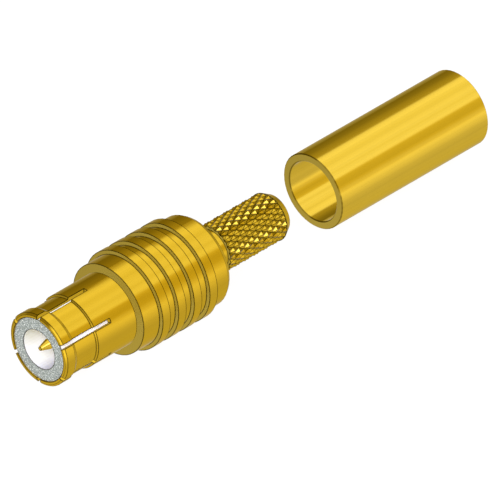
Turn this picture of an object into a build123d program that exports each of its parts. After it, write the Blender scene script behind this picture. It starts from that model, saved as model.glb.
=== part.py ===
"""Push-fit coaxial plug for thin cable, with its crimp ferrule drawn off.

The connector lies along X. Its plug end looks towards -X and the cable leaves towards +X. Z is up,
and one slot of the plug is at the top. The origin is on the axis, in the plane of the body's front
shoulder, where the contact sleeve comes out. All sizes are in millimetres.
"""

from build123d import *
import os
from math import cos, radians, sin, tan

# Slotted outer contact, from its tail in the body to its lip
sleeve_length = 4.45
sleeve_radius = 1.84
sleeve_bore_radius = 1.60
sleeve_tail_length = 3.00
sleeve_tail_radius = 1.74
snap_ridge_width = 0.50
snap_groove_length = 1.42
snap_groove_radius = 1.73
snap_slope_length = 0.18
snap_step_length = 0.04
lip_chamfer = 0.07
lip_radius = 1.73
slot_count = 6
slot_width = 0.20
slot_length = 3.00

# Ribbed body
body_length = 5.60
band_radius = 2.28
rib_radius = 2.50
rib_count = 4
rib_width = 0.50
rib_pitch = 1.00
rear_chamfer_length = 0.20
rear_chamfer_height = 0.13
cavity_radius = 1.20
cavity_length = 2.00

# Neck and knurled crimp stem, turned in one with the body
neck_radius = 1.01
neck_length = 1.05
stem_radius = 1.21
stem_bore_radius = 0.80
stem_cone_length = 0.40
stem_cone_angle = 30
knurl_length = 3.60
knurl_periods = 6
knurl_starts = 22
knurl_depth = 0.10

# Insulator
insulator_recess = 0.05
mouth_radius = 1.00
mouth_depth = 2.80

# Centre contact
pin_radius = 0.25
pin_tip_radius = 0.10
pin_cone_length = 0.52
pin_recess = 0.05
barrel_radius = 0.45
barrel_overhang = 1.20
cup_bore_radius = 0.30
cup_depth = 2.00
sight_hole_radius = 0.14
sight_hole_inset = 1.60

# Crimp ferrule, drawn off the stem
ferrule_length = 9.50
ferrule_radius = 1.90
ferrule_bore_radius = 1.50
ferrule_edge_break = 0.05
ferrule_gap = 2.45

# Places along X that several pieces share
lip_x = -sleeve_length
insulator_x = lip_x + insulator_recess
web_x = insulator_x + mouth_depth
seat_x = sleeve_tail_length
cavity_end_x = seat_x + cavity_length
knurl_x = body_length + neck_length
knurl_end_x = knurl_x + knurl_length
stem_end_x = knurl_end_x + stem_cone_length
ferrule_x = stem_end_x + ferrule_gap


def knurl_point(row, column):
    """Give a corner of the diamonds: even sums are peaks, odd sums are where two grooves cross."""
    radius = stem_radius - knurl_depth * ((row + column) % 2)
    angle = radians(90 - column * 180 / knurl_starts)
    x = knurl_x + row * knurl_length / (2 * knurl_periods)
    return Vector(x, radius * cos(angle), radius * sin(angle))


def knurled_solid():
    """Build the diamond knurl: four flat facets fall from each peak to the grooves round it."""
    columns = range(2 * knurl_starts)
    last_row = 2 * knurl_periods
    facets = []
    for row in range(last_row + 1):
        for column in columns:
            if (row + column) % 2:
                continue
            for next_row in (row - 1, row + 1):
                if not 0 <= next_row <= last_row:
                    continue
                for next_column in (column - 1, column + 1):
                    corners = [(row, column), (next_row, column), (row, next_column)]
                    facets.append(Face(Wire.make_polygon([knurl_point(*corner) for corner in corners])))
    for row in (0, last_row):
        facets.append(Face(Wire.make_polygon([knurl_point(row, column) for column in columns])))
    return Solid(Shell(facets))


# Outer contact: a spring sleeve with a snap ridge, a long snap groove and six slots
ridge_x = lip_x + lip_chamfer
ridge_end_x = ridge_x + snap_ridge_width - snap_step_length / 2
groove_x = ridge_end_x + snap_slope_length
groove_end_x = groove_x + snap_groove_length - snap_slope_length
with BuildPart() as outer_contact:
    with BuildSketch(Plane.XZ):
        with BuildLine():
            Polyline(
                (seat_x, sleeve_bore_radius),
                (lip_x, sleeve_bore_radius),
                (lip_x, lip_radius),
                (ridge_x, sleeve_radius),
                (ridge_end_x, sleeve_radius),
                (groove_x, snap_groove_radius),
                (groove_end_x, snap_groove_radius),
                (groove_end_x + snap_step_length, sleeve_radius),
                (0, sleeve_radius),
                (0, sleeve_tail_radius),
                (seat_x, sleeve_tail_radius),
                close=True,
            )
        make_face()
    revolve(axis=Axis.X)
    sleeve_wall = sleeve_radius - sleeve_bore_radius
    with BuildSketch(Plane.YZ.offset(lip_x)):
        with PolarLocations(sleeve_bore_radius + sleeve_wall / 2, slot_count, start_angle=90):
            Rectangle(2 * sleeve_wall, slot_width)
    extrude(amount=slot_length, mode=Mode.SUBTRACT)
outer_contact.part.label = "outer_contact"

# Body: ribbed grip, neck and knurled crimp stem in one turned piece, bored from both ends
cone_end_radius = stem_radius - stem_cone_length * tan(radians(stem_cone_angle))
with BuildPart() as body:
    with BuildSketch(Plane.XZ):
        with BuildLine():
            Polyline(
                (0, 0),
                (0, band_radius),
                (body_length - rear_chamfer_length, band_radius),
                (body_length, band_radius - rear_chamfer_height),
                (body_length, neck_radius),
                (knurl_end_x, neck_radius),
                (knurl_end_x, stem_radius),
                (stem_end_x, cone_end_radius),
                (stem_end_x, 0),
                close=True,
            )
        make_face()
    revolve(axis=Axis.X)
    for rib in range(rib_count):
        with BuildSketch(Plane.YZ.offset((rib + 1) * rib_pitch)):
            Circle(rib_radius)
        extrude(amount=rib_width)
    add(knurled_solid())
    with BuildSketch(Plane.YZ):
        Circle(sleeve_tail_radius)
    extrude(amount=seat_x, mode=Mode.SUBTRACT)
    with BuildSketch(Plane.YZ.offset(seat_x)):
        Circle(cavity_radius)
    extrude(amount=cavity_length, mode=Mode.SUBTRACT)
    with BuildSketch(Plane.YZ.offset(cavity_end_x)):
        Circle(stem_bore_radius)
    extrude(amount=stem_end_x - cavity_end_x, mode=Mode.SUBTRACT)
body.part.label = "body"

# Insulator: open mouth round the pin, then a web that holds the contact's barrel
with BuildPart() as insulator:
    with BuildSketch(Plane.XZ):
        with BuildLine():
            Polyline(
                (insulator_x, mouth_radius),
                (insulator_x, sleeve_bore_radius),
                (seat_x, sleeve_bore_radius),
                (seat_x, barrel_radius),
                (web_x, barrel_radius),
                (web_x, mouth_radius),
                close=True,
            )
        make_face()
    revolve(axis=Axis.X)
insulator.part.label = "insulator"

# Centre contact: pointed pin, and a barrel whose cup takes the cable's conductor
pin_x = insulator_x + pin_recess
cup_x = seat_x + barrel_overhang
with BuildPart() as centre_contact:
    with BuildSketch(Plane.XZ):
        with BuildLine():
            Polyline(
                (pin_x, 0),
                (pin_x, pin_tip_radius),
                (pin_x + pin_cone_length, pin_radius),
                (web_x, pin_radius),
                (web_x, barrel_radius),
                (cup_x, barrel_radius),
                (cup_x, cup_bore_radius),
                (cup_x - cup_depth, cup_bore_radius),
                (cup_x - cup_depth, 0),
                close=True,
            )
        make_face()
    revolve(axis=Axis.X)
    with BuildSketch(Plane.XY.offset(barrel_radius)):
        with Locations((cup_x - sight_hole_inset, 0)):
            Circle(sight_hole_radius)
    extrude(amount=-barrel_radius, mode=Mode.SUBTRACT)
centre_contact.part.label = "centre_contact"

# Crimp ferrule: a plain thin tube with broken edges
with BuildPart() as crimp_ferrule:
    with BuildSketch(Plane.YZ.offset(ferrule_x)):
        Circle(ferrule_radius)
        Circle(ferrule_bore_radius, mode=Mode.SUBTRACT)
    extrude(amount=ferrule_length)
    chamfer(crimp_ferrule.edges().filter_by(GeomType.CIRCLE), ferrule_edge_break)
crimp_ferrule.part.label = "crimp_ferrule"

os.makedirs("parts", exist_ok=True)
for piece in (outer_contact, body, insulator, centre_contact, crimp_ferrule):
    export_step(piece.part, f"parts/{piece.part.label}.step")
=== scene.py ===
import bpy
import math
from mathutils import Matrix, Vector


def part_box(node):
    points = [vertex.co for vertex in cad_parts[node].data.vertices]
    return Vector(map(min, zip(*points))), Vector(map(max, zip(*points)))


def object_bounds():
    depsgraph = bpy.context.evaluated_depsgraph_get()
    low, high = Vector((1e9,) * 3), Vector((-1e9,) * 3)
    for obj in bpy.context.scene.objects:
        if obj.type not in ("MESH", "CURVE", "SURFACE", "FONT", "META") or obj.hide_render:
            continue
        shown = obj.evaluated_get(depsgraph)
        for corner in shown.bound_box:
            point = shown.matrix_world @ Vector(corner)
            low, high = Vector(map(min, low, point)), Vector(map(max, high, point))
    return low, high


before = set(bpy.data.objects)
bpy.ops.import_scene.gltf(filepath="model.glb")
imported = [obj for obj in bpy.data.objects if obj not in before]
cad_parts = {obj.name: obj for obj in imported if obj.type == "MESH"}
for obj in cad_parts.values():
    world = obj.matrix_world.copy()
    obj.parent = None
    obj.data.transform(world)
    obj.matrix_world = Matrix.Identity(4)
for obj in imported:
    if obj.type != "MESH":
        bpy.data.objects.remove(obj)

# Looks of a push-fit coaxial plug: gold plate, white insulator, pale floor and soft studio light.
# The connector lies along X with its plug end towards -X. All lengths are in metres.

cad_low, cad_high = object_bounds()
MM = 0.001
WHITE = (1.0, 1.0, 1.0)
CREAM = (1.0, 0.93, 0.64)
IVORY = (1.0, 0.97, 0.85)
HONEY = (1.0, 0.98, 0.80)
WARM = (1.0, 0.87, 0.28)

# Camera, at the photograph's isometric angle, from far off through a long lens. Lens and sensor are
# in millimetres, as Blender has them.
CAMERA_AZIMUTH = math.radians(-45)
CAMERA_ELEVATION = math.atan(1 / math.sqrt(2))
CAMERA_LENS = 1650
SENSOR_WIDTH = 36
FRAME_WIDTH = 22.727 * MM
FACE_RIGHT_OF_CENTRE = -9.515 * MM
FACE_ABOVE_CENTRE = -4.483 * MM
MIDDLE_X = (cad_low.x + cad_high.x) / 2

# Gold plate: brighter on the ferrule and the pin. Painted shade darkens and dulls the end faces of
# body and ferrule, and broken edges at 45 degrees. A face is an end face, or a broken edge at 45
# degrees, by how far its normal leans to X.
GOLD_BRIGHT = (1.00, 0.68, 0.070)
GOLD_DEEP = (0.89, 0.57, 0.036)
GOLD_END_FACE_PAINTED_SHADE = (0.69, 0.505, 0.084)
GOLD_RIM_TINT = (0.88, 0.80, 0.50)
CLOUD_SHADE = 0.95
CLOUD_SCALE = 900
END_FACE_LEAN = (0.90, 0.99)
BROKEN_EDGE_LEAN = math.sqrt(0.5)
BROKEN_EDGE_SPREAD = (0.03, 0.06)
BROKEN_EDGE_PAINTED_SHADE = 0.32
GRAIN_SCALE = 9000
GRAIN_DETAIL = 3.0
GRAIN_IN_ROUGHNESS = (0.8, 1.2)
TOOL_LINE_SCALE = 9000
TOOL_LINE_WAVER = 2.0
TOOL_LINE_DEPTH = 0.002 * MM

# Painted shade: dark thin lines along edges and creases, finer from just before the knurl. A place
# is on an edge by the cosine between its face's normal and the one that the Bevel node eases.
EDGE_PAINTED_SHADE = 0.07
EDGE_RADIUS = 0.08 * MM
EDGE_SAMPLES = 10
EDGE_COSINES = (0.95, 0.9992)
FINER_EDGES_X = 6.60 * MM
FINER_EDGE_RADIUS = 0.068 * MM

# The insulator's cut face with its specks, and the tones of its bore for Y plus Z in millimetres:
# painted light and shade, bright, darker and bluer low and warmer high
INSULATOR_FACE = (0.21, 0.235, 0.23)
INSULATOR_SPECK = (0.76, 0.80, 0.78)
INSULATOR_BORE_PAINTED_LIGHT = (
    (-1.35, (0.56, 0.57, 0.74)), (-0.60, (0.90, 0.92, 0.98)), (0.40, (0.91, 0.93, 0.98)),
    (1.35, (0.86, 0.87, 0.80)),
)
# Painted shade along the insulator's edges
INSULATOR_EDGE_PAINTED_SHADE = (0.04, 0.04, 0.04)
INSULATOR_FACE_DEPTH = 0.002 * MM
INSULATOR_ROUGHNESS = 0.6
INSULATOR_GLOSS = 0.2
SPECK_SCALE = 22000
SPECK_DETAIL = 1.0
SPECK_RANGE = (0.55, 0.67)
SPECK_BUMP = 0.3
SPECK_DEPTH = 0.01 * MM

# What the metal mirrors: the studio, seen through the part's own pieces, and a plain tone once it
# has looked through this many of their surfaces
PIECE_IN_METAL = 0.55
CLEAR_SURFACES = 6

# Floor. The metal mirrors a tone for each place along Y, in millimetres, and a brighter patch
# that lies past the plug's end, on the camera's side. Its edges fade between these places.
FLOOR_Z = cad_low.z
FLOOR_SIZE = 6.0
FLOOR_COLOUR = (0.62, 0.62, 0.62)
FLOOR_WHITE = 1.12
FLOOR_WHITE_SHARE = 0.85
FLOOR_IN_METAL = (
    (-40, 0.94), (-16, 0.86), (-10, 0.76), (-6, 0.62), (-4.6, 0.58), (-3.4, 0.60), (-2, 0.62),
    (4, 0.53), (25, 0.33),
)
PATCH_FADE_X = (-12 * MM, -7.5 * MM)
PATCH_FADE_Y = (-0.5 * MM, 1.5 * MM)
PATCH_IN_METAL = 1.3

# Studio. Its walls and ceiling run along X, so their light depends on the angle round X alone, in
# degrees from straight up and negative behind the connector. The end walls, and the middle and half
# width of the strip light, are placed by how far a direction leans to X.
STUDIO = (
    (-180, 0.45, CREAM), (-91, 0.36, CREAM), (-87, 0.20, WARM), (-64, 0.25, WARM), (-48, 0.36, WARM),
    (-35, 0.43, WARM), (-30, 0.94, WHITE), (-18, 1.03, WHITE), (-2, 0.89, HONEY), (16, 0.99, WHITE),
    (24, 0.96, WHITE), (28, 0.89, HONEY), (34, 0.96, WHITE), (40, 1.00, WHITE), (46, 0.98, WHITE),
    (50, 0.73, WARM), (57, 0.64, WARM), (66, 0.61, WARM), (74, 0.66, WARM), (83, 0.77, CREAM),
    (90, 0.90, CREAM), (96, 0.64, CREAM), (180, 0.45, CREAM),
)
END_WALL_START = (0.82, 0.90)
END_WALL = ((0.88, 0.22, WARM), (0.94, 0.24, WARM), (0.985, 0.60, CREAM), (1.0, 0.64, CREAM))
STRIP_LIGHT_X = 0.05
STRIP_LIGHT_HALF_WIDTH = (0.20, 0.32)
STRIP_LIGHT_START = (math.radians(30), math.radians(36))
STRIP_LIGHT_END = (math.radians(56), math.radians(61))
STRIP_LIGHT_COLOUR = (2.3, 2.5, 5.0)
SOFTBOX_DIRECTION = Vector((-0.975, -0.10, 0.12)).normalized()
SOFTBOX_HALF_ANGLE = math.radians(14)
SOFTBOX_SOFT_ANGLE = math.radians(22)
SOFTBOX_COLOUR = (1.25, 1.25, 1.25)

# Fill lamp on the plug's side
FILL_AZIMUTH = math.radians(-62)
FILL_ELEVATION = math.radians(36)
FILL_DISTANCE = 0.5
FILL_WIDTH = 0.3
FILL_POWER = 2.5


def feed(tree, socket, value):
    """Link a socket to another one, or set it to a number, a vector or a colour of three channels."""
    if isinstance(value, bpy.types.NodeSocket):
        tree.links.new(value, socket)
    elif isinstance(value, tuple):
        socket.default_value = (*value, 1)
    else:
        socket.default_value = value


def shade(level, tint=WHITE):
    """Return a tint at a level of brightness."""
    return tuple(level * channel for channel in tint)


def math_node(tree, operation, *values):
    """Add a Math node, whose inputs are sockets or numbers, and return its output."""
    node = tree.nodes.new("ShaderNodeMath")
    node.operation = operation
    for socket, value in zip(node.inputs, values):
        feed(tree, socket, value)
    return node.outputs[0]


def dot(tree, first, second):
    """Return the dot product of two vectors."""
    node = tree.nodes.new("ShaderNodeVectorMath")
    node.operation = "DOT_PRODUCT"
    feed(tree, node.inputs[0], first)
    feed(tree, node.inputs[1], second)
    return node.outputs["Value"]


def split(tree, vector):
    """Return the X, Y and Z sockets of a vector."""
    node = tree.nodes.new("ShaderNodeSeparateXYZ")
    tree.links.new(vector, node.inputs[0])
    return node.outputs


def noise(tree, coordinates, scale, detail=2.0):
    """Add a noise texture in object coordinates and return its factor."""
    node = tree.nodes.new("ShaderNodeTexNoise")
    node.inputs["Scale"].default_value = scale
    node.inputs["Detail"].default_value = detail
    tree.links.new(coordinates, node.inputs["Vector"])
    return node.outputs["Fac"]


def tool_lines(tree, coordinates):
    """Add the fine lines that a lathe tool leaves round X and return their factor."""
    node = tree.nodes.new("ShaderNodeTexWave")
    node.wave_type = "BANDS"
    node.bands_direction = "X"
    node.inputs["Scale"].default_value = TOOL_LINE_SCALE
    node.inputs["Distortion"].default_value = TOOL_LINE_WAVER
    tree.links.new(coordinates, node.inputs["Vector"])
    return node.outputs["Fac"]


def spread(tree, value, source, target=(0, 1)):
    """Map a value from the source range to the target range, clamped."""
    node = tree.nodes.new("ShaderNodeMapRange")
    node.inputs["From Min"].default_value, node.inputs["From Max"].default_value = source
    node.inputs["To Min"].default_value, node.inputs["To Max"].default_value = target
    tree.links.new(value, node.inputs["Value"])
    return node.outputs["Result"]


def mix_colour(tree, factor, first, second):
    """Mix two colours, given as sockets or as numbers, by a factor socket."""
    node = tree.nodes.new("ShaderNodeMix")
    node.data_type = "RGBA"
    for name, colour in (("A", first), ("B", second)):
        feed(tree, next(s for s in node.inputs if s.name == name and s.type == "RGBA"), colour)
    tree.links.new(factor, node.inputs[0])
    return next(s for s in node.outputs if s.type == "RGBA")


def colour_ramp(tree, value, stops):
    """Look a value up in a ramp of places, in rising order, with their colours."""
    low = stops[0][0]
    high = stops[-1][0]
    ramp = tree.nodes.new("ShaderNodeValToRGB")
    while len(ramp.color_ramp.elements) < len(stops):
        ramp.color_ramp.elements.new(0.5)
    for element, (place, colour) in zip(ramp.color_ramp.elements, stops):
        element.position = (place - low) / (high - low)
        element.color = (*colour, 1)
    tree.links.new(spread(tree, value, (low, high)), ramp.inputs[0])
    return ramp.outputs["Color"]


def mix_shader(tree, factor, first, second):
    """Mix two shader sockets by a factor socket."""
    node = tree.nodes.new("ShaderNodeMixShader")
    tree.links.new(factor, node.inputs[0])
    tree.links.new(first, node.inputs[1])
    tree.links.new(second, node.inputs[2])
    return node.outputs[0]


def coloured(tree, kind, colour):
    """Add a shader node of a kind in a colour, given as a socket or as numbers."""
    node = tree.nodes.new(kind)
    feed(tree, node.inputs["Color"], colour)
    return node.outputs[0]


def bump(tree, height, strength, distance):
    """Add a bump node and return its normal."""
    node = tree.nodes.new("ShaderNodeBump")
    node.inputs["Strength"].default_value = strength
    node.inputs["Distance"].default_value = distance
    tree.links.new(height, node.inputs["Height"])
    return node.outputs["Normal"]


def painted_edge_shade_mask(tree, x):
    """Return painted edge shade: 1 on plug edges, finer on the knurl, 0 elsewhere and on the ferrule.
    """
    stem_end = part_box("body")[1].x
    narrowing = (FINER_EDGES_X - EDGE_RADIUS, FINER_EDGES_X)
    finer = spread(tree, x, narrowing, (EDGE_RADIUS, FINER_EDGE_RADIUS))
    on_plug = spread(tree, x, (stem_end, stem_end + EDGE_RADIUS), (1, 0))
    eased = tree.nodes.new("ShaderNodeBevel")
    eased.samples = EDGE_SAMPLES
    tree.links.new(math_node(tree, "MULTIPLY", finer, on_plug), eased.inputs["Radius"])
    flat = tree.nodes.new("ShaderNodeNewGeometry").outputs["True Normal"]
    return spread(tree, dot(tree, eased.outputs["Normal"], flat), EDGE_COSINES, (1, 0))


def new_material(name):
    """Start a material and return it with its node tree and its output node."""
    material = bpy.data.materials.new(name)
    material.use_nodes = True
    tree = material.node_tree
    tree.nodes.clear()
    return material, tree, tree.nodes.new("ShaderNodeOutputMaterial")


def studio_only(tree, shader, output):
    """Let metal mirror the studio through the piece, and a plain tone past a few surfaces."""
    path = tree.nodes.new("ShaderNodeLightPath")
    clear = tree.nodes.new("ShaderNodeBsdfTransparent").outputs[0]
    tone = coloured(tree, "ShaderNodeEmission", shade(PIECE_IN_METAL, CREAM))
    deep = math_node(tree, "GREATER_THAN", path.outputs["Transparent Depth"], CLEAR_SURFACES - 1)
    mirrored = mix_shader(tree, deep, clear, tone)
    shown = mix_shader(tree, path.outputs["Is Glossy Ray"], shader.outputs[0], mirrored)
    tree.links.new(shown, output.inputs["Surface"])


def gold_plate(name, colour, painted_end_face_colour, roughness, tool_marks):
    """Gold plate: soft clouds, painted shade on end faces and edges, and tool lines round X."""
    material, tree, output = new_material(name)
    shader = tree.nodes.new("ShaderNodeBsdfPrincipled")
    shader.inputs["Metallic"].default_value = 1.0
    shader.inputs["Specular Tint"].default_value = (*GOLD_RIM_TINT, 1)
    studio_only(tree, shader, output)
    place = tree.nodes.new("ShaderNodeTexCoord").outputs["Object"]
    facing = tree.nodes.new("ShaderNodeNewGeometry").outputs["True Normal"]

    clouds = noise(tree, place, CLOUD_SCALE)
    plated = mix_colour(tree, clouds, colour, shade(CLOUD_SHADE, colour))
    lean = math_node(tree, "ABSOLUTE", split(tree, facing)["X"])
    # Painted shade: end faces take a darker colour by how far their normal leans to X
    faced = mix_colour(tree, spread(tree, lean, END_FACE_LEAN), plated, painted_end_face_colour)
    # Painted shade on broken edges at 45 degrees
    off_lean = math_node(tree, "ABSOLUTE", math_node(tree, "SUBTRACT", lean, BROKEN_EDGE_LEAN))
    on_broken_edge = spread(tree, off_lean, BROKEN_EDGE_SPREAD, (1, 0))
    broken = mix_colour(tree, on_broken_edge, faced, shade(BROKEN_EDGE_PAINTED_SHADE, colour))
    # Painted shade along thin edges and creases
    edge = painted_edge_shade_mask(tree, split(tree, place)["X"])
    shaded = mix_colour(tree, edge, broken, shade(EDGE_PAINTED_SHADE, colour))
    tree.links.new(shaded, shader.inputs["Base Color"])

    grain = noise(tree, place, GRAIN_SCALE, GRAIN_DETAIL)
    least, most = GRAIN_IN_ROUGHNESS
    uneven = spread(tree, grain, (0, 1), (roughness * least, roughness * most))
    tree.links.new(uneven, shader.inputs["Roughness"])
    marks = bump(tree, tool_lines(tree, place), tool_marks, TOOL_LINE_DEPTH)
    tree.links.new(marks, shader.inputs["Normal"])
    return material


def insulator_white(name):
    """White fluoropolymer: a bore in painted light and shade, a greyer cut face with fine bright
    specks.
    """
    material, tree, output = new_material(name)
    shader = tree.nodes.new("ShaderNodeBsdfPrincipled")
    studio_only(tree, shader, output)
    place = tree.nodes.new("ShaderNodeTexCoord").outputs["Object"]
    x, y, z = split(tree, place)

    grain = noise(tree, place, SPECK_SCALE, SPECK_DETAIL)
    face = mix_colour(tree, spread(tree, grain, SPECK_RANGE), INSULATOR_FACE, INSULATOR_SPECK)
    # Painted light and shade in the bore: bright, darker and bluer low, warmer high
    stops = [(place_in_bore * MM, colour) for place_in_bore, colour in INSULATOR_BORE_PAINTED_LIGHT]
    bore = colour_ramp(tree, math_node(tree, "ADD", y, z), stops)
    face_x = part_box("insulator")[0].x
    behind_face = math_node(tree, "GREATER_THAN", x, face_x + INSULATOR_FACE_DEPTH)
    whole = mix_colour(tree, behind_face, face, bore)
    # Painted shade along the insulator's edges
    edged = mix_colour(tree, painted_edge_shade_mask(tree, x), whole, INSULATOR_EDGE_PAINTED_SHADE)
    tree.links.new(edged, shader.inputs["Base Color"])
    shader.inputs["Roughness"].default_value = INSULATOR_ROUGHNESS
    shader.inputs["Specular IOR Level"].default_value = INSULATOR_GLOSS
    tree.links.new(bump(tree, grain, SPECK_BUMP, SPECK_DEPTH), shader.inputs["Normal"])
    return material


def floor_material():
    """Pale floor: white to the camera over a faint shadow, and its own plain tones in the metal."""
    material, tree, output = new_material("floor")
    path = tree.nodes.new("ShaderNodeLightPath")
    seen = math_node(tree, "MULTIPLY", path.outputs["Is Camera Ray"], FLOOR_WHITE_SHARE)
    shadowed = coloured(tree, "ShaderNodeBsdfDiffuse", FLOOR_COLOUR)
    shown = mix_shader(tree, seen, shadowed, coloured(tree, "ShaderNodeEmission", shade(FLOOR_WHITE)))

    x, y, _ = split(tree, tree.nodes.new("ShaderNodeTexCoord").outputs["Object"])
    stops = [(place * MM, shade(level, IVORY)) for place, level in FLOOR_IN_METAL]
    across = colour_ramp(tree, y, stops)
    past_plug = spread(tree, x, PATCH_FADE_X, (1, 0))
    camera_side = spread(tree, y, PATCH_FADE_Y, (1, 0))
    in_patch = math_node(tree, "MULTIPLY", past_plug, camera_side)
    tone = mix_colour(tree, in_patch, across, shade(PATCH_IN_METAL, IVORY))
    glossy = path.outputs["Is Glossy Ray"]
    mirrored = math_node(tree, "MAXIMUM", glossy, path.outputs["Is Transmission Ray"])
    floor = mix_shader(tree, mirrored, shown, coloured(tree, "ShaderNodeEmission", tone))
    tree.links.new(floor, output.inputs["Surface"])
    return material


def make_floor():
    """Lay the floor under the ribs."""
    half = FLOOR_SIZE / 2
    corners = [(x * half, y * half, FLOOR_Z) for x, y in ((-1, -1), (1, -1), (1, 1), (-1, 1))]
    mesh = bpy.data.meshes.new("floor")
    mesh.from_pydata(corners, [], [(0, 1, 2, 3)])
    floor = bpy.data.objects.new("floor", mesh)
    bpy.context.scene.collection.objects.link(floor)
    mesh.materials.append(floor_material())


def studio_walls(tree, x, angle):
    """Return the light of the walls and ceiling round X, with the two end walls."""
    round_stops = [(math.radians(degrees), shade(level, tint)) for degrees, level, tint in STUDIO]
    end_stops = [(place, shade(level, tint)) for place, level, tint in END_WALL]
    lean = math_node(tree, "ABSOLUTE", x)
    at_end = spread(tree, lean, END_WALL_START)
    around = colour_ramp(tree, angle, round_stops)
    return mix_colour(tree, at_end, around, colour_ramp(tree, lean, end_stops))


def in_softbox(tree, direction):
    """Return 1 in the soft box and 0 outside it."""
    soft_edge = (math.cos(SOFTBOX_SOFT_ANGLE), math.cos(SOFTBOX_HALF_ANGLE))
    return spread(tree, dot(tree, direction, SOFTBOX_DIRECTION), soft_edge)


def in_strip_light(tree, x, angle):
    """Return 1 in the strip light and 0 outside it."""
    off_middle = math_node(tree, "ABSOLUTE", math_node(tree, "SUBTRACT", x, STRIP_LIGHT_X))
    across = spread(tree, off_middle, STRIP_LIGHT_HALF_WIDTH, (1, 0))
    begun = spread(tree, angle, STRIP_LIGHT_START)
    not_ended = spread(tree, angle, STRIP_LIGHT_END, (1, 0))
    return math_node(tree, "MULTIPLY", across, math_node(tree, "MULTIPLY", begun, not_ended))


def make_world():
    """Set the studio round the part: walls, end walls, a soft box and a strip; white to the camera."""
    world = bpy.data.worlds.new("studio")
    bpy.context.scene.world = world
    world.use_nodes = True
    tree = world.node_tree
    tree.nodes.clear()
    output = tree.nodes.new("ShaderNodeOutputWorld")
    direction = tree.nodes.new("ShaderNodeTexCoord").outputs["Generated"]
    x, y, z = split(tree, direction)
    angle = math_node(tree, "ARCTAN2", math_node(tree, "MULTIPLY", y, -1.0), z)

    walls = studio_walls(tree, x, angle)
    boxed = mix_colour(tree, in_softbox(tree, direction), walls, SOFTBOX_COLOUR)
    lit = mix_colour(tree, in_strip_light(tree, x, angle), boxed, STRIP_LIGHT_COLOUR)
    studio = coloured(tree, "ShaderNodeBackground", lit)
    white = coloured(tree, "ShaderNodeBackground", WHITE)
    path = tree.nodes.new("ShaderNodeLightPath")
    shown = mix_shader(tree, path.outputs["Is Camera Ray"], studio, white)
    tree.links.new(shown, output.inputs["Surface"])


def outward(azimuth, elevation):
    """Return the direction from the connector to a place; azimuth 0 is -Y and negative is to -X."""
    return Vector((
        math.sin(azimuth) * math.cos(elevation),
        -math.cos(azimuth) * math.cos(elevation),
        math.sin(elevation),
    ))


def make_fill():
    """Light the insulator by a soft lamp on the plug's side, which the metal doesn't mirror."""
    light = bpy.data.lights.new("plug_side_fill", "AREA")
    light.shape = "DISK"
    light.size = FILL_WIDTH
    light.energy = FILL_POWER
    lamp = bpy.data.objects.new("plug_side_fill", light)
    lamp.visible_glossy = False
    back = outward(FILL_AZIMUTH, FILL_ELEVATION)
    lamp.location = back * FILL_DISTANCE
    lamp.rotation_mode = "QUATERNION"
    lamp.rotation_quaternion = back.to_track_quat("Z", "Y")
    bpy.context.scene.collection.objects.link(lamp)


def make_camera():
    """Place the camera so that the plug's face falls where the photograph has it."""
    back = outward(CAMERA_AZIMUTH, CAMERA_ELEVATION)
    turn = back.to_track_quat("Z", "Y")
    right = turn @ Vector((1, 0, 0))
    up = turn @ Vector((0, 1, 0))
    face_centre = Vector((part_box("insulator")[0].x, 0, 0))
    target = face_centre - right * FACE_RIGHT_OF_CENTRE - up * FACE_ABOVE_CENTRE
    depth = (Vector((MIDDLE_X, 0, 0)) - face_centre).dot(-back)
    camera_data = bpy.data.cameras.new("camera")
    camera_data.lens = CAMERA_LENS
    camera_data.sensor_width = SENSOR_WIDTH
    camera = bpy.data.objects.new("camera", camera_data)
    camera.rotation_mode = "QUATERNION"
    camera.rotation_quaternion = turn
    camera.location = target + back * (FRAME_WIDTH * CAMERA_LENS / SENSOR_WIDTH - depth)
    bpy.context.scene.collection.objects.link(camera)
    bpy.context.scene.camera = camera


def dress(node, material):
    """Give a CAD node one material."""
    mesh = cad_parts[node].data
    mesh.materials.clear()
    mesh.materials.append(material)


make_camera()
make_floor()
make_world()
make_fill()

dress("outer_contact", gold_plate(
    "gold_contact", GOLD_DEEP, GOLD_DEEP, roughness=0.14, tool_marks=0.10,
))
dress("body", gold_plate(
    "gold_body", GOLD_DEEP, GOLD_END_FACE_PAINTED_SHADE, roughness=0.15, tool_marks=0.10,
))
dress("centre_contact", gold_plate(
    "gold_pin", GOLD_BRIGHT, GOLD_BRIGHT, roughness=0.12, tool_marks=0.05,
))
dress("crimp_ferrule", gold_plate(
    "gold_ferrule", GOLD_BRIGHT, GOLD_END_FACE_PAINTED_SHADE, roughness=0.12, tool_marks=0.05,
))
dress("insulator", insulator_white("insulator_white"))

bpy.context.scene.view_settings.view_transform = "Standard"
